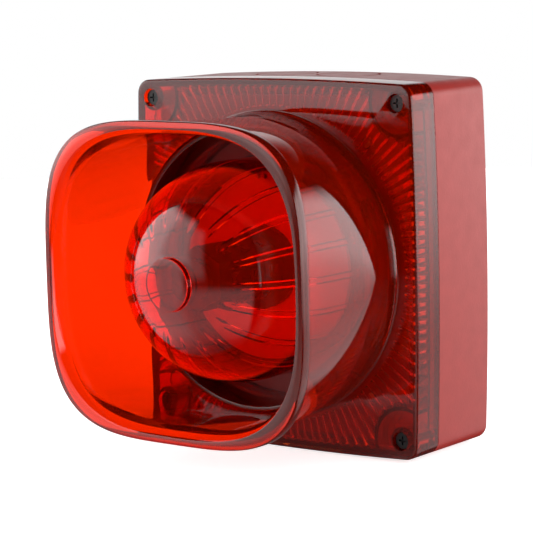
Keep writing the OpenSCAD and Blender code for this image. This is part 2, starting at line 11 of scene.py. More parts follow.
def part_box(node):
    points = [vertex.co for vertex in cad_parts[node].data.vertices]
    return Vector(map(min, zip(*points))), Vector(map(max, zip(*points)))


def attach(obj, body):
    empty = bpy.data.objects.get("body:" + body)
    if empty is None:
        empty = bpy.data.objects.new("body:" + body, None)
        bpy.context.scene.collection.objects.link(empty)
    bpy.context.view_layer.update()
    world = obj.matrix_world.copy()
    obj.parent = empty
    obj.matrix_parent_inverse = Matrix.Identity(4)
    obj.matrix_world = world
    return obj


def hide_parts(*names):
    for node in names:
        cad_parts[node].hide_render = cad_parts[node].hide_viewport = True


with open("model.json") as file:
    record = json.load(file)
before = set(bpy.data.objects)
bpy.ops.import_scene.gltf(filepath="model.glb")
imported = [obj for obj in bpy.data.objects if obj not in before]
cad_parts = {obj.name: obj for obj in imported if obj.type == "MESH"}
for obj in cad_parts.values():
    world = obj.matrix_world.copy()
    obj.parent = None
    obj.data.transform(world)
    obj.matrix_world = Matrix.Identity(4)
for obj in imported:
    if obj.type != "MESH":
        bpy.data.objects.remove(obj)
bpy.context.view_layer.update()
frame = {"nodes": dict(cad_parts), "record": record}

# ---- Levels and sizes, in millimetres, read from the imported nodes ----


def top_of(node):
    """How far a node reaches out from the wall, in millimetres."""
    return -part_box(node)[0].y * 1000


def foot_of(node):
    """How near to the wall a node reaches, in millimetres."""
    return -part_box(node)[1].y * 1000


def radius_of(node):
    """How far a node reaches to the right of the axis, in millimetres."""
    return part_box(node)[1].x * 1000


FACE = top_of("front_cover")
SEAM = foot_of("front_cover")
RIM = top_of("horn")
SPIGOT = foot_of("horn")
MOUTH_W = radius_of("horn")
MOUTH_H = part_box("horn")[1].z * 1000
DOME_R = radius_of("beacon_dome")
DOME_FOOT = foot_of("beacon_dome")
DOME_TOP = top_of("beacon_dome")
RING_FOOT = foot_of("throat_ring")
RING_TOP = top_of("throat_ring")
RING_R = radius_of("throat_ring")
GASKET_TOP = top_of("cover_gasket")
FLOOR_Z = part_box("back_box")[0].z

# the housing: outline, bow of the sides, wall, and the places of the cover screws
BODY_W = 106
BODY_H = 113
CORNER_R = 4.5
BOW = 1.1
WALL = 2.5
SCREW_X = 47.2
SCREW_Y = 50.8
POST_R = 4.2

# the horn: spigot and seal groove, foot, neck and bore
SPIGOT_R = 45.4
GROOVE_IN_R = 46.1
GROOVE_OUT_R = 47.3
GROOVE_DEPTH = 1.1
FOOT_R = 48
FOOT_STEP = 0.6
FOOT_H = 7
NECK_R = 46.5
NECK_Z = FACE + 10
BORE_R = 44.3
BORE_LOW_R = 43.2
# its flare: the straight share of its curve, how gently it starts to turn square, and how square it ends
FLARE_STRAIGHT = 0.6
SQUARE_SOFT = 0.004
MOUTH_POWER = 3.6
# its mouth: bead outside, flat front face, and the bell inside
RIM_BEAD = 2
RIM_DEPTH = 4
RIM_NECK = 1.2
HORN_WALL = 2.3
RIM_FACE = 2.2
RIM_ROUND = 0.3
BELL_DEPTH = 8

# ---- Mesh helpers ----


def wall_point(x, up, out):
    """A point given by its place on the wall and its distance out from it, in millimetres, as metres."""
    return (x * 0.001, -out * 0.001, up * 0.001)


def new_object(name, verts, faces):
    """A mesh object whose faces all look outwards."""
    mesh = bpy.data.meshes.new(name)
    mesh.from_pydata(verts, [], faces)
    mesh.validate()
    bm = bmesh.new()
    bm.from_mesh(mesh)
    bmesh.ops.recalc_face_normals(bm, faces=bm.faces)
    bm.to_mesh(mesh)
    bm.free()
    obj = bpy.data.objects.new(name, mesh)
    bpy.context.scene.collection.objects.link(obj)
    return obj


def smooth(obj, angle):
    """Smooth shading, with edges sharper than the angle kept."""
    mesh = obj.data
    mesh.polygons.foreach_set("use_smooth", [True] * len(mesh.polygons))
    mesh.set_sharp_from_angle(angle=math.radians(angle))
    return obj


def loft(name, rings, loop=True):
    """A skin through rings of equal length. With loop, the last ring joins the first, as in a tube."""
    n = len(rings[0])
    verts = [p for ring in rings for p in ring]
    count = len(rings)
    faces = []
    for k in range(count if loop else count - 1):
        a = k * n
        b = ((k + 1) % count) * n
        for i in range(n):
            j = (i + 1) % n
            faces.append((a + i, a + j, b + j, b + i))
    if not loop:
        faces.append(tuple(range(n)))
        faces.append(tuple(range((count - 1) * n, count * n)))
    return new_object(name, verts, faces)


def polar(radius, level, angles):
    """A ring of points from a radius and a distance out from the wall, each one number or one per angle."""
    radii = np.broadcast_to(radius, angles.shape)
    levels = np.broadcast_to(level, angles.shape)
    return [wall_point(r * math.cos(t), r * math.sin(t), z) for r, t, z in zip(radii, angles, levels)]


def turns(n):
    """Directions evenly round the axis."""
    return np.arange(n) * 2 * math.pi / n


def rod(x, up, r, out0, out1, n=48):
    """A round bar out from the wall, for cutting holes."""
    t = turns(n)
    rings = []
    for out in (out0, out1):
        rings.append([wall_point(x + r * math.cos(a), up + r * math.sin(a), out) for a in t])
    return loft("cutter", rings, loop=False)


def merge(objects):
    """Joins meshes into the first one."""
    first = objects[0]
    bm = bmesh.new()
    for o in objects:
        bm.from_mesh(o.data)
    bm.to_mesh(first.data)
    bm.free()
    for o in objects[1:]:
        bpy.data.objects.remove(o)
    return first


def cut(obj, cutters, operation="DIFFERENCE"):
    """A boolean with all the cutters at once, which uses them up."""
    tool = merge(cutters)
    m = obj.modifiers.new("boolean", "BOOLEAN")
    m.object = tool
    m.operation = operation
    m.solver = "EXACT"
    graph = bpy.context.evaluated_depsgraph_get()
    mesh = bpy.data.meshes.new_from_object(obj.evaluated_get(graph))
    obj.modifiers.clear()
    obj.data = mesh
    bpy.data.objects.remove(tool)
    return obj


def corners(x, y):
    """The four places that mirror a point left to right and top to bottom."""
    return [(sx * x, sy * y) for sx in (-1, 1) for sy in (-1, 1)]


# ---- Outline of the housing ----


def outline(inset, n=160):
    """Corner points of the bowed square, moved inwards."""
    w = BODY_W / 2 - inset
    h = BODY_H / 2 - inset
    r = max(CORNER_R - inset, 0.6)
    points = []
    for turn in range(4):
        half, reach = (w, h) if turn % 2 == 0 else (h, w)
        quarter = []
        for i in range(n):
            s = -1 + 2 * i / n
            quarter.append((half + BOW * (1 - s * s), s * (reach - r)))
        for i in range(n // 4):
            a = math.pi / 2 * i / (n // 4)
            quarter.append((half - r + r * math.cos(a), reach - r + r * math.sin(a)))
        c, s = round(math.cos(turn * math.pi / 2)), round(math.sin(turn * math.pi / 2))
        points += [(x * c - y * s, x * s + y * c) for x, y in quarter]
    return np.array(points)


def outline_radius(inset, angles):
    """Distance from the axis to the outline in each direction."""
    p = outline(inset)
    t = np.unwrap(np.arctan2(p[:, 1], p[:, 0]))
    r = np.hypot(p[:, 0], p[:, 1])
    return np.interp(angles, t, r, period=2 * math.pi)


# ---- Horn ----

FLARE_STEPS = 40
FOOT_STEPS = 12
BELL_STEPS = 12


def reach_at(angles, a, b, power):
    """Radius of a rounded square of half sizes a and b. At power 2 it is an ellipse."""
    c = np.abs(np.cos(angles)) / a
    s = np.abs(np.sin(angles)) / b
    return (c ** power + s ** power) ** (-1 / power)


def ease(t):
    """Runs from 0 to 1 with level ends."""
    return t * t * (3 - 2 * t)


def mix(a, b, t):
    return a + (b - a) * t


def squareness(e):
    """How far the section has turned from round to square: quick next to the neck, then slower."""
    start = math.sqrt(SQUARE_SOFT)
    return (math.sqrt(e + SQUARE_SOFT) - start) / (math.sqrt(1 + SQUARE_SOFT) - start)


def flare(out0, out1, r0, inset, power, angles):
    """Rings from the round neck to the rounded-square mouth."""
    rings = []
    for i in range(FLARE_STEPS + 1):
        t = i / FLARE_STEPS
        e = mix(ease(t), t, FLARE_STRAIGHT)
        a = mix(r0, MOUTH_W - inset, e)
        b = mix(r0, MOUTH_H - inset, e)
        section = reach_at(angles, a, b, mix(2, power, squareness(e)))
        rings.append(polar(section, mix(out0, out1, t), angles))
    return rings


def arc(cx, cz, r, a0, a1, steps):
    """Points of an arc in the plane of radius and distance out."""
    out = []
    for i in range(steps + 1):
        a = math.radians(mix(a0, a1, i / steps))
        out.append((cx + r * math.cos(a), cz + r * math.sin(a)))
    return out


def build_horn():
    """Outside from the spigot to the rim, then back down the bell mouth, the flare and the bore."""
    angles = turns(288)
    rings = []

    def round_ring(r, z):
        rings.append(polar(r, z, angles))

    def rim_ring(inset, z, power):
        rings.append(polar(reach_at(angles, MOUTH_W - inset, MOUTH_H - inset, power), z, angles))

    groove = FACE + GROOVE_DEPTH
    round_ring(SPIGOT_R, SPIGOT)
    round_ring(SPIGOT_R, FACE)
    for r, z in [(GROOVE_IN_R, FACE), (GROOVE_IN_R, groove), (GROOVE_OUT_R, groove), (GROOVE_OUT_R, FACE)]:
        round_ring(r, z)
    round_ring(FOOT_R - 0.15, FACE)
    round_ring(FOOT_R, FACE + 0.15)
    for i in range(FOOT_STEPS + 1):
        a = math.pi / 2 * i / FOOT_STEPS
        r = NECK_R + (FOOT_R - NECK_R) * (1 - math.sin(a))
        round_ring(r, FACE + FOOT_STEP + FOOT_H * (1 - math.cos(a)))
    flare_top = RIM - RIM_DEPTH - RIM_NECK
    rings += flare(NECK_Z, flare_top, NECK_R, RIM_BEAD, MOUTH_POWER - 0.3, angles)
    back = RIM - RIM_DEPTH
    for inset, dz in [(1.5, -0.9), (0.9, -0.45), (0.35, 0), (0.1, 0.3), (0, 0.7)]:
        rim_ring(inset, back + dz, MOUTH_POWER)
    for inset, dz in [(0, -0.9), (0.08, -0.5), (0.3, -0.15), (0.6, 0)]:
        rim_ring(inset, RIM + dz, MOUTH_POWER)
    rim_ring(RIM_FACE - 0.1, RIM, MOUTH_POWER - 0.6)
    rim_ring(RIM_FACE + 0.14, RIM - 0.06, MOUTH_POWER - 0.6)
    inner_inset = RIM_BEAD + HORN_WALL
    for i in range(BELL_STEPS):
        t = i / BELL_STEPS
        e = 1 - (1 - t) ** 2
        inset = mix(RIM_FACE + RIM_ROUND, inner_inset, e)
        rim_ring(inset, RIM - RIM_ROUND - (BELL_DEPTH - RIM_ROUND) * t, MOUTH_POWER - mix(0.6, 0.7, e))
    inner = flare(NECK_Z, RIM - BELL_DEPTH, BORE_R, inner_inset, MOUTH_POWER - 0.7, angles)
    rings += inner[::-1]
    for r, z in [(BORE_R, FACE + 1), (BORE_LOW_R, FACE + 1), (BORE_LOW_R, SPIGOT)]:
        round_ring(r, z)
    return smooth(loft("horn_moulding", rings), 28)


# ---- Throat ring ----


def build_throat_ring():
    """An L-shaped ring: a flange under the horn's bore and a thin lip that leans out to a round edge."""
    angles = turns(256)
    low = BORE_LOW_R - 0.3
    inner = RING_R - 1.8
    profile = [(inner - 1.1, RING_FOOT), (low, RING_FOOT), (low, FACE + 1), (RING_R, FACE + 1)]
    profile += arc(RING_R - 0.5, RING_TOP - 0.5, 0.5, 0, 90, 4)
    profile += arc(inner + 0.7, RING_TOP - 0.4, 0.4, 90, 180, 4)
    profile += [(inner - 0.4, FACE + 9), (inner - 0.9, FACE + 5.5), (inner - 1.1, FACE + 3)]
    return smooth(loft("throat_ring_moulding", [polar(r, z, angles) for r, z in profile]), 40)


# ---- Beacon dome ----

DOME_BEND = 12
DOME_POWER = 2.45
NOSE_R = 8
NOSE_STEP = 1.4
NOSE_EDGE = 0.35
DOME_WALL = 2
DOME_STEPS = 44
RIBS = 20
RIB_T = 1.3
RIB_DEPTH = 0.6
RIB_DRAFT = 0.5
RIB_FADE = 14
# three points of a ring lie on each rib and the rest between the ribs
GAP_POINTS = 8
RIB_MASK = np.tile(np.array([True] * 3 + [False] * GAP_POINTS), RIBS)


def dome_point(a, inset):
    """Radius and distance out at angle a up the dome, from its foot at 0 to its crown at 90."""
    crown = DOME_TOP - NOSE_STEP - FACE
    c = max(math.cos(math.radians(a)), 0) ** (2 / DOME_POWER)
    s = math.sin(math.radians(a)) ** (2 / DOME_POWER)
    return ((DOME_R - inset) * c, FACE + DOME_BEND + (crown - DOME_BEND - inset) * s)


def rib_angles(r):
    """The directions of one ring of the inner skin: rib edges stay a constant distance apart."""
    sector = 2 * math.pi / RIBS
    half = min(RIB_T / 2 / max(r, 0.1), sector * 0.42)
    draft = min(RIB_DRAFT / max(r, 0.1), sector * 0.06)
    gap = np.linspace(half + draft, sector - half - draft, GAP_POINTS)
    local = np.concatenate([[-half, 0.0, half], gap])
    return np.concatenate([local + i * sector for i in range(RIBS)])


def ribbed_ring(inset_r, inset_out, plain_r, plain_out):
    """A ring of the inner skin: one radius and level on the ribs, another between them."""
    return polar(np.where(RIB_MASK, inset_r, plain_r), np.where(RIB_MASK, inset_out, plain_out),
                 rib_angles(plain_r))


def dome_outside(steps):
    """Rings of the outer skin, from the foot to the crown, with the raised nose on top."""
    skin = [dome_point(a, 0) for a in steps]
    base = np.interp(NOSE_R, [r for r, z in skin][::-1], [z for r, z in skin][::-1])
    profile = [(DOME_R - 0.2, DOME_FOOT), (DOME_R, DOME_FOOT + 0.2), (DOME_R, FACE + 4), (DOME_R, FACE + 8)]
    profile += [(r, z) for r, z in skin if r > NOSE_R + 0.25]
    profile += [(NOSE_R + 0.12, base + 0.05), (NOSE_R, base + 0.2)]
    profile += arc(NOSE_R - NOSE_EDGE, DOME_TOP - NOSE_EDGE, NOSE_EDGE, 0, 90, 4)
    profile += [(r, DOME_TOP) for r in (5, 2.5, 0.6)]
    plain = turns(len(RIB_MASK))
    return [polar(r, z, plain) for r, z in profile]


def dome_inside(steps):
    """Rings of the inner skin, from the crown down to the foot, with ribs that fade out near the nose."""
    rings = []
    for a in reversed(steps):
        r, z = dome_point(a, DOME_WALL)
        if r > 0.5:
            depth = RIB_DEPTH * ease(min(max((r - NOSE_R - 6) / RIB_FADE, 0), 1))
            rings.append(ribbed_ring(*dome_point(a, DOME_WALL + depth), r, z))
    foot_r = DOME_R - DOME_WALL
    rings.append(ribbed_ring(foot_r - RIB_DEPTH, FACE + 2, foot_r, FACE + 2))
    for z in (FACE + 1.8, DOME_FOOT):
        rings.append(polar(foot_r, z, rib_angles(foot_r)))
    return rings


def cap_crown(obj, first):
    """Parts the two smallest rings of the crown, which the loft joined, and closes each with a disc."""
    n = len(RIB_MASK)
    bm = bmesh.new()
    bm.from_mesh(obj.data)
    bm.verts.ensure_lookup_table()
    top = set(range(first, first + n))
    under = set(range(first + n, first + 2 * n))
    joined = []
    for face in bm.faces:
        around = {v.index for v in face.verts}
        if around & top and around & under:
            joined.append(face)
    bmesh.ops.delete(bm, geom=joined, context="FACES_ONLY")
    bm.verts.ensure_lookup_table()
    bm.faces.new([bm.verts[i] for i in sorted(top)])
    bm.faces.new([bm.verts[i] for i in sorted(under)][::-1])
    bmesh.ops.recalc_face_normals(bm, faces=bm.faces)
    bm.to_mesh(obj.data)
    bm.free()


def build_dome():
    # steps crowd together towards the crown
    steps = [90 * (1 - (1 - i / DOME_STEPS) ** 1.25) for i in range(DOME_STEPS + 1)]
    outside = dome_outside(steps)
    obj = loft("beacon_dome_lens", outside + dome_inside(steps))
    cap_crown(obj, (len(outside) - 1) * len(RIB_MASK))
    return smooth(obj, 24)


# ---- Front cover ----

FLUTES = 120
FLUTE_SAMPLES = 8
FLUTE_DEPTH = 1.0
FLUTE_SIDE = 0.36
FACE_EDGE = 1.0
FACE_STEPS = 24
GASKET_GAP = 2.8
GASKET_T = 2.4
POCKET_R = 9.2
POCKET_T = 1.2
SCREW_HOLE_R = 1.8
SCREW_HEAD_R = 2.85


def flute_height(angles):
    """How far each flute stands proud, from 0 to 1."""
    t = (angles * FLUTES / (2 * math.pi)) % 1.0
    return np.clip(1 - np.abs(t - 0.5) / FLUTE_SIDE, 0, 1)


def pocketed_radius(inset, pocket, angles):
    """The outline moved inwards, less a round pocket at each corner screw."""
    r = outline_radius(inset, angles)
    away = math.hypot(SCREW_X, SCREW_Y)
    for x, y in corners(SCREW_X, SCREW_Y):
        turn = angles - math.atan2(y, x)
        inside = pocket ** 2 - (away * np.sin(turn)) ** 2
        near = away * np.cos(turn) - np.sqrt(np.maximum(inside, 0))
        r = np.where((inside > 0) & (np.cos(turn) > 0), np.minimum(r, near), r)
    return r


def clear_of_screws(radius, angles, keep):
    """1 away from the corner screws, falling to 0 within the keep distance."""
    x = np.abs(radius * np.cos(angles))
    y = np.abs(radius * np.sin(angles))
    return np.clip((np.hypot(x - SCREW_X, y - SCREW_Y) - keep) / 0.5, 0, 1)


def build_cover():
    """From the opening over the face, down the side, in along the gasket's ledge, back under the face."""
    angles = turns(FLUTES * FLUTE_SAMPLES)
    opening = SPIGOT_R + 0.2
    under = FACE - WALL
    rings = [polar(opening, under, angles), polar(opening, FACE, angles)]
    for r, z in arc(0, FACE - FACE_EDGE, FACE_EDGE, 90, 0, 6):
        rings.append(polar(outline_radius(FACE_EDGE - r, angles), z, angles))
    wall_r = outline_radius(WALL, angles)
    rings.append(polar(outline_radius(0, angles), SEAM + 0.15, angles))
    rings.append(polar(outline_radius(0.15, angles), SEAM, angles))
    rings.append(polar(wall_r, SEAM, angles))
    ledge = pocketed_radius(GASKET_GAP + GASKET_T, POCKET_R + GASKET_T, angles)
    rings.append(polar(wall_r, GASKET_TOP, angles))
    rings.append(polar(ledge, GASKET_TOP, angles))
    rings.append(polar(ledge, GASKET_TOP + 1, angles))
    rings.append(polar(wall_r, GASKET_TOP + 1.1, angles))
    height = flute_height(angles) * FLUTE_DEPTH
    on_wall = height * clear_of_screws(wall_r, angles, POCKET_R + POCKET_T)
    rings.append(polar(wall_r - on_wall, GASKET_TOP + 1.8, angles))
    rings.append(polar(wall_r - on_wall, under - on_wall, angles))
    inner_r = FOOT_R + 1.5
    for i in range(1, FACE_STEPS + 1):
        r = mix(wall_r, inner_r, i / FACE_STEPS)
        on_face = height * clear_of_screws(r, angles, POCKET_R + POCKET_T)
        rings.append(polar(r, under - on_face, angles))
    rings.append(polar(inner_r - 0.5, under, angles))
    return smooth(loft("front_cover_moulding", rings), 20)


def screw_pocket(x, y):
    """The thin wall round one corner screw, cut off at the cover's own walls."""
    low, high = GASKET_TOP + 0.5, FACE - WALL + 0.3
    wall = rod(x, y, POCKET_R + POCKET_T, low, high, 96)
    cut(wall, [rod(x, y, POCKET_R, low - 1, high + 1, 96)])
    bound = outline(WALL - 0.4, 40)
    ends = [[wall_point(px, py, z) for px, py in bound] for z in (low - 1, high + 1)]
    prism = loft("cutter", ends, loop=False)
    return cut(wall, [prism], "INTERSECT")


def drill_cover(cover):
    """Screw posts and pockets, counterbores and through holes at the four corners."""
    solids = []
    holes = []
    for x, y in corners(SCREW_X, SCREW_Y):
        solids.append(rod(x, y, POST_R, SEAM, FACE - WALL + 0.4, 64))
        solids.append(screw_pocket(x, y))
        holes.append(rod(x, y, SCREW_HOLE_R, SEAM - 1, FACE - 3, 48))
        holes.append(rod(x, y, SCREW_HEAD_R, FACE - 3.8, FACE + 1, 64))
    cut(cover, solids, "UNION")
    for hole in holes:
        cut(cover, [hole])
    return smooth(cover, 24)


# ---- Back box ----

BACK_EDGE = 1.6
BACK_FLOOR = 3
LAND_W = 5.5
LAND_T = 4
INSERT_R = 2.4
INSERT_FOOT = 18.4
FIXING_X = 30
FIXING_Y = 36
FIXING_R = 2.3
ENTRY_Y = -22
ENTRY_R = 8
KNOCKOUT_X = 12
KNOCKOUT_R = 10.2
KNOCKOUT_GROOVE = 0.8
KNOCKOUT_DEPTH = 0.9


def build_back_box():
    """From the rounded back edge to the seam, in over the land, and down the inside to the floor."""
    angles = turns(960)
    rings = []
    for r, z in arc(0, BACK_EDGE, BACK_EDGE, -90, 0, 6):
        rings.append(polar(outline_radius(BACK_EDGE - r, angles), z, angles))
    for inset, z in [(0, SEAM - 0.15), (0.15, SEAM), (LAND_W, SEAM), (LAND_W, SEAM - LAND_T),
                     (WALL, SEAM - LAND_T), (WALL + 0.3, BACK_FLOOR + 0.6), (WALL + 0.9, BACK_FLOOR)]:
        rings.append(polar(outline_radius(inset, angles), z, angles))
    return smooth(loft("back_box_moulding", rings, loop=False), 30)


def drill_back_box(box):
    """Insert posts, insert holes, wall fixing holes, the rear cable entry and the knock-out grooves."""
    solids = []
    holes = []
    for x, y in corners(SCREW_X, SCREW_Y):
        solids.append(rod(x, y, POST_R, 2.5, SEAM, 64))
        holes.append(rod(x, y, INSERT_R, INSERT_FOOT, SEAM + 1, 48))
    for x, y in corners(FIXING_X, FIXING_Y):
        holes.append(rod(x, y, FIXING_R, -1, BACK_FLOOR + 1, 48))
    holes.append(rod(0, ENTRY_Y, ENTRY_R, -1, BACK_FLOOR + 1, 64))
    cut(box, solids, "UNION")
    cut(box, holes)
    for x, side in corners(KNOCKOUT_X, 1):
        cut(box, [knockout_ring(side, x)])
    return smooth(box, 30)


def knockout_ring(side, x):
    """A ring that cuts the groove round a knock-out, in the top wall or, with side -1, the bottom one."""
    t = turns(96)
    wall = (BODY_H / 2 + BOW) * side
    inner_r = KNOCKOUT_R - KNOCKOUT_GROOVE
    deep = KNOCKOUT_DEPTH
    rings = []
    for r, depth in [(KNOCKOUT_R, -1), (KNOCKOUT_R, deep), (inner_r, deep), (inner_r, -1)]:
        up = wall - depth * side
        rings.append([wall_point(x + r * math.cos(a), up, SEAM / 2 + r * math.sin(a)) for a in t])
    return loft("cutter", rings)


# ---- Materials ----

# The solid finishes by material slot, as linear red, green and blue
FINISHES = {
    "brass": (0.62, 0.42, 0.16), "dark_rubber": (0.012, 0.012, 0.013),
    "black_plastic": (0.006, 0.006, 0.006), "white_board": (0.8, 0.8, 0.78),
    "nylon": (0.8, 0.78, 0.7), "lamp_chip": (0.06, 0.05, 0.02),
    "zinc_steel": (0.6, 0.6, 0.62), "ferrite": (0.05, 0.05, 0.055),
    "green_board": (0.01, 0.12, 0.04), "blue_plastic": (0.02, 0.07, 0.3),
    "cone_film": (0.04, 0.04, 0.045), "copper": (0.6, 0.25, 0.12),
    "black_steel": (0.008, 0.008, 0.008), "box_red": (0.262, 0.012, 0.008),
}
METALS = {"brass", "zinc_steel", "copper"}

# Light taken out per metre of clear plastic: red, green, blue
HORN_RED = (95, 130, 600)
LENS_RED = (12, 150, 600)
# The tint of the clear plastic's surface and haze, which varies between these two
TINT = ((0.98, 0.03, 0.002), (0.98, 0.025, 0.002))


def material(name, color, rough, **inputs):
    """A Principled material. Input names have _ for each space."""
    m = bpy.data.materials.new(name)
    m.use_nodes = True
    bsdf = m.node_tree.nodes["Principled BSDF"]
    bsdf.inputs["Base Color"].default_value = (*color, 1)
    bsdf.inputs["Roughness"].default_value = rough
    for key, value in inputs.items():
        bsdf.inputs[key.replace("_", " ")].default_value = value
    return m


def node(m, kind, **values):
    """A new shader node. Each value is an input's or a setting of the node."""
    n = m.node_tree.nodes.new(kind)
    for key, value in values.items():
        if key in n.inputs:
            n.inputs[key].default_value = value
        else:
            setattr(n, key, value)
    return n


def link(m, a, b):
    m.node_tree.links.new(a, b)


def vary(m, scale, color_a, color_b, rough_a, rough_b, bump, bump_scale):
    """Object-space noise drives the colour, the roughness and a fine bump."""
    bsdf = m.node_tree.nodes["Principled BSDF"]
    coord = node(m, "ShaderNodeTexCoord")
    noise = node(m, "ShaderNodeTexNoise", Scale=scale, Detail=4.0)
    link(m, coord.outputs["Object"], noise.inputs["Vector"])
    # sockets 6, 7 and output 2 of a Mix node are its colours
    blend = node(m, "ShaderNodeMix", data_type="RGBA")
    blend.inputs[6].default_value = (*color_a, 1)
    blend.inputs[7].default_value = (*color_b, 1)
    link(m, noise.outputs["Fac"], blend.inputs["Factor"])
    link(m, blend.outputs[2], bsdf.inputs["Base Color"])
    rough = node(m, "ShaderNodeMapRange")
    rough.inputs["To Min"].default_value = rough_a
    rough.inputs["To Max"].default_value = rough_b
    link(m, noise.outputs["Fac"], rough.inputs["Value"])
    link(m, rough.outputs["Result"], bsdf.inputs["Roughness"])
    fine = node(m, "ShaderNodeTexNoise", Scale=bump_scale, Detail=3.0)
    link(m, coord.outputs["Object"], fine.inputs["Vector"])
    bumper = node(m, "ShaderNodeBump", Strength=bump, Distance=0.0002)
    link(m, fine.outputs["Fac"], bumper.inputs["Height"])
    link(m, bumper.outputs["Normal"], bsdf.inputs["Normal"])
    return m


def clear_red(name, per_metre, clear):
    """Clear plastic that takes out a share of the red, green and blue light per metre of its depth."""
    m = material(name, TINT[0], 0.03, IOR=1.585, Transmission_Weight=clear)
    vary(m, 60, *TINT, rough_a=0.018, rough_b=0.042, bump=0.02, bump_scale=90)
    density = max(per_metre)
    inner = node(m, "ShaderNodeVolumeAbsorption", Density=density)
    inner.inputs["Color"].default_value = (*(1 - v / density for v in per_metre), 1)
    link(m, inner.outputs[0], m.node_tree.nodes["Material Output"].inputs["Volume"])
    return m


def paint(piece, m):
    piece.data.materials.clear()
    piece.data.materials.append(m)


def solid_finish(name):
    """A moulded or metal surface, a little uneven in colour and roughness, with a fine grain."""
    color = FINISHES[name]
    m = material(name, color, 0.4, Metallic=1.0 if name in METALS else 0.0)
    dark = tuple(c * 0.75 for c in color)
    return vary(m, 220, color, dark, rough_a=0.28, rough_b=0.45, bump=0.15, bump_scale=1500)


def finish_nodes():
    """Gives every CAD node the material of its slot."""
    made = {"clear_red": clear_red("clear_red", HORN_RED, 0.97)}
    for part in frame["record"]["subparts"]:
        name = part["material_slot"]
        if name not in made:
            made[name] = solid_finish(name)
        obj = frame["nodes"][part["node"]]
        if len(obj.material_slots) == 0:
            obj.data.materials.append(made[name])
        for s in obj.material_slots:
            s.material = made[name]
    return made


# ---- Camera, floor and light ----

# Degrees round to the right and up, and the tilt of the picture; metres from the point it looks at
CAMERA_ANGLES = (37.78, 7.87, -1.41)
CAMERA_DISTANCE = 0.74875
CAMERA_AIM = Vector((-0.03339, 0, -0.00792))


def make_camera():
    azimuth, elevation, roll = (math.radians(v) for v in CAMERA_ANGLES)
    flat = math.cos(elevation)
    back = Vector((math.sin(azimuth) * flat, -math.cos(azimuth) * flat, math.sin(elevation)))
    right = Vector((math.cos(azimuth), math.sin(azimuth), 0))
    up = back.cross(right)
    r = math.cos(roll) * right + math.sin(roll) * up
    u = -math.sin(roll) * right + math.cos(roll) * up
    data = bpy.data.cameras.new("camera")
    data.lens = 151.41
    data.sensor_width = 36
    data.clip_start = 0.02
    data.clip_end = 50
    cam = bpy.data.objects.new("camera", data)
    bpy.context.scene.collection.objects.link(cam)
    place = Matrix((r, u, back)).transposed().to_4x4()
    place.translation = CAMERA_AIM + back * CAMERA_DISTANCE
    cam.matrix_world = place
    bpy.context.scene.camera = cam


def disc(name, radius, y, z):
    """A flat round sheet, in metres."""
    verts = [(radius * math.cos(a), radius * math.sin(a) + y, z) for a in turns(96)]
    return new_object(name, verts, [tuple(range(96))])


def make_floor():
    """A pale table that glows a little, so that it is as white as the background."""
    floor = disc("floor", 0.9, -0.03, FLOOR_Z)
    m = material("pale_floor", (0.9, 0.9, 0.9), 0.7)
    bsdf = m.node_tree.nodes["Principled BSDF"]
    bsdf.inputs["Emission Color"].default_value = (1, 1, 1, 1)
    bsdf.inputs["Emission Strength"].default_value = 0.7
    paint(floor, m)
    floor.visible_glossy = False


def world_math(tree, operation, a, b=None):
    """One arithmetic node of the world; each input is a number or another node's output."""
    n = tree.nodes.new("ShaderNodeMath")
    n.operation = operation
    for socket, value in zip(n.inputs, (a, b)):
        if isinstance(value, (int, float)):
            socket.default_value = value
        elif value is not None:
            tree.links.new(value, socket)
    return n.outputs[0]


def world_step(tree, value, edge, soft, start=0.0, end=1.0):
    """Runs smoothly from start to end as the value passes the edge."""
    n = tree.nodes.new("ShaderNodeMapRange")
    n.interpolation_type = "SMOOTHSTEP"
    tree.links.new(value, n.inputs["Value"])
    n.inputs["From Min"].default_value = edge - soft
    n.inputs["From Max"].default_value = edge + soft
    n.inputs["To Min"].default_value = start
    n.inputs["To Max"].default_value = end
    return n.outputs["Result"]


# What the glossy surfaces reflect: azimuth from straight in front towards the right, then elevation,
# both from low to high in degrees, the softness of the edges, and the brightness. A panel that starts
# left of the front counts its azimuth from -180 to 180, and the others from 0 to 360.
REFLECTED = [
    ((-84, -48), (-3, 42), 5, 3.0),
    ((-48, -24), (-3, 42), 5, 1.9),
    ((-24, -10), (-3, 36), 5, 0.7),
    ((-84, -34), (-62, -3), 5, 1.05),
    ((-34, 52), (-62, -10), 4, 0.66),
    ((62, 135), (-8, 18), 4, 3.0),
    ((135, 180), (-7, 16), 5, 2.6),
    ((100, 180), (-23, -8), 5, 0.9),
    ((95, 165), (-42, -23), 5, 1.0),
    ((180, 230), (-15, 26), 6, 0.9),
]

# Size and place of the painted floor shadow, in metres
PAINTED_SHADOW_R = 0.09
PAINTED_SHADOW_Y = -0.06


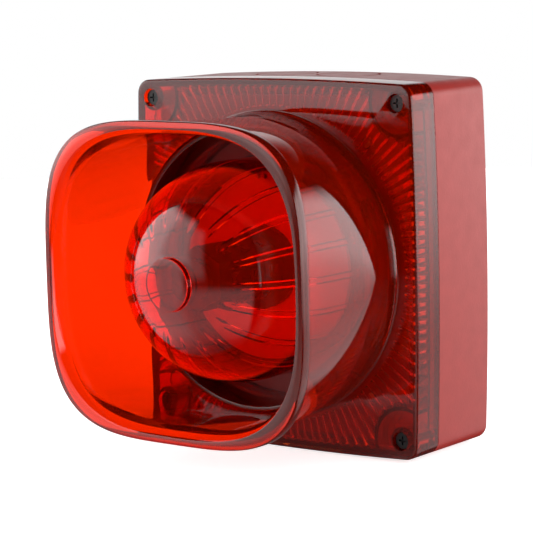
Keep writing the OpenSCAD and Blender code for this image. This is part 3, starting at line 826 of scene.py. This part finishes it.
def make_painted_floor_shadow():
    """A painted shadow: a dim patch that stands for the shaded floor between the cover and the mouth, seen
    only in reflections.
    """
    patch = disc("painted_floor_shadow", PAINTED_SHADOW_R, PAINTED_SHADOW_Y, FLOOR_Z + 0.0002)
    m = bpy.data.materials.new("painted_floor_shadow")
    m.use_nodes = True
    m.node_tree.nodes.clear()
    out = node(m, "ShaderNodeOutputMaterial")
    blend = node(m, "ShaderNodeMixShader")
    # painted shadow: a dim glow for the shaded floor under the horn, fading to clear towards its edge
    dim = node(m, "ShaderNodeEmission", Strength=0.12)
    clear = node(m, "ShaderNodeBsdfTransparent")
    coord = node(m, "ShaderNodeTexCoord")
    away = node(m, "ShaderNodeVectorMath", operation="DISTANCE")
    away.inputs[1].default_value = (0, PAINTED_SHADOW_Y, FLOOR_Z)
    fade = node(m, "ShaderNodeMapRange", interpolation_type="SMOOTHSTEP")
    fade.inputs["From Min"].default_value = 0.03
    fade.inputs["From Max"].default_value = 0.085
    link(m, coord.outputs["Object"], away.inputs[0])
    link(m, away.outputs["Value"], fade.inputs["Value"])
    link(m, fade.outputs["Result"], blend.inputs[0])
    link(m, dim.outputs[0], blend.inputs[1])
    link(m, clear.outputs[0], blend.inputs[2])
    link(m, blend.outputs[0], out.inputs["Surface"])
    paint(patch, m)
    patch.visible_camera = False
    patch.visible_diffuse = False
    patch.visible_transmission = False
    patch.visible_shadow = False


def reflected_studio(tree):
    """Adds up the panels of REFLECTED that the direction of a ray meets."""
    coord = tree.nodes.new("ShaderNodeTexCoord")
    split = tree.nodes.new("ShaderNodeSeparateXYZ")
    tree.links.new(coord.outputs["Generated"], split.inputs[0])
    x, y, z = split.outputs
    to_degrees = 180 / math.pi
    front = world_math(tree, "ARCTAN2", x, world_math(tree, "MULTIPLY", y, -1.0))
    azimuth = world_math(tree, "MULTIPLY", front, to_degrees)
    wrap = world_math(tree, "MULTIPLY", world_math(tree, "LESS_THAN", azimuth, 0.0), 360.0)
    turned = world_math(tree, "ADD", azimuth, wrap)
    elevation = world_math(tree, "MULTIPLY", world_math(tree, "ARCSINE", z), to_degrees)
    total = 0.0
    for (az0, az1), (el0, el1), soft, radiance in REFLECTED:
        angle = azimuth if az0 < 0 else turned
        panel = world_step(tree, angle, az0, soft, 0.0, radiance)
        for value, edge, end in ((angle, az1, 0.0), (elevation, el0, 1.0), (elevation, el1, 0.0)):
            inside = world_step(tree, value, edge, soft, 1.0 - end, end)
            panel = world_math(tree, "MULTIPLY", panel, inside)
        total = world_math(tree, "ADD", panel, total)
    return total


def make_world():
    """White for what is seen directly or through the plastic, and soft panels for reflections."""
    world = bpy.data.worlds.new("studio")
    bpy.context.scene.world = world
    world.use_nodes = True
    tree = world.node_tree
    tree.nodes.clear()
    out = tree.nodes.new("ShaderNodeOutputWorld")
    bg = tree.nodes.new("ShaderNodeBackground")
    bg.inputs["Color"].default_value = (1, 1, 1, 1)
    tree.links.new(bg.outputs[0], out.inputs[0])
    path = tree.nodes.new("ShaderNodeLightPath").outputs
    direct = world_math(tree, "MAXIMUM", path["Is Camera Ray"], path["Is Transmission Ray"])
    direct = world_math(tree, "MAXIMUM", direct, path["Is Diffuse Ray"])
    # what comes in through the plastic is stronger, and more so where it falls on the parts inside
    scattered = world_math(tree, "GREATER_THAN", path["Diffuse Depth"], 0.5)
    inside = world_math(tree, "MULTIPLY", path["Is Transmission Ray"], scattered)
    through = world_math(tree, "MULTIPLY", path["Is Transmission Ray"], 0.5)
    extra = world_math(tree, "ADD", inside, through)
    choose = tree.nodes.new("ShaderNodeMix")
    choose.data_type = "FLOAT"
    # sockets 2 and 3 of a Mix node are its two numbers
    tree.links.new(direct, choose.inputs["Factor"])
    tree.links.new(reflected_studio(tree), choose.inputs[2])
    tree.links.new(world_math(tree, "ADD", extra, 1.0), choose.inputs[3])
    tree.links.new(choose.outputs[0], bg.inputs["Strength"])


LIGHT_AIM = Vector((0, -0.04, 0))


def softbox(name, direction, distance, width, height, radiance):
    """A rectangular studio light that shines on the object with this brightness of its own surface."""
    data = bpy.data.lights.new(name, "AREA")
    data.shape = "RECTANGLE"
    data.size = width
    data.size_y = height
    data.energy = radiance * math.pi * width * height
    light = bpy.data.objects.new(name, data)
    bpy.context.scene.collection.objects.link(light)
    d = Vector(direction).normalized()
    place = d.to_track_quat("Z", "Y").to_matrix().to_4x4()
    place.translation = LIGHT_AIM + d * distance
    light.matrix_world = place
    light.visible_camera = False
    light.visible_transmission = False
    light.visible_glossy = False


def make_lights():
    softbox("left_box", (-0.66, -0.75, 0.20), 1.5, 0.8, 0.8, 2.6)
    softbox("right_box", (0.97, 0.15, 0.1), 1.2, 1.2, 0.9, 3.0)


# ---- Build ----

bpy.context.scene.view_settings.view_transform = "Standard"
cycles = bpy.context.scene.cycles
cycles.max_bounces = 32
cycles.transmission_bounces = 32
cycles.transparent_max_bounces = 16
make_camera()
make_floor()
make_painted_floor_shadow()
make_world()
make_lights()

finishes = finish_nodes()
glass = clear_red("horn_plastic", HORN_RED, 0.95)
lens = clear_red("dome_plastic", LENS_RED, 0.985)
for piece, body, stands_for, m in (
    (build_horn(), "head", "horn", glass),
    (build_throat_ring(), "head", "throat_ring", glass),
    (build_dome(), "head", "beacon_dome", lens),
    (drill_cover(build_cover()), "head", "front_cover", glass),
    (drill_back_box(build_back_box()), "base", "back_box", finishes["box_red"]),
):
    paint(piece, m)
    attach(piece, body)
    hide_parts(stands_for)
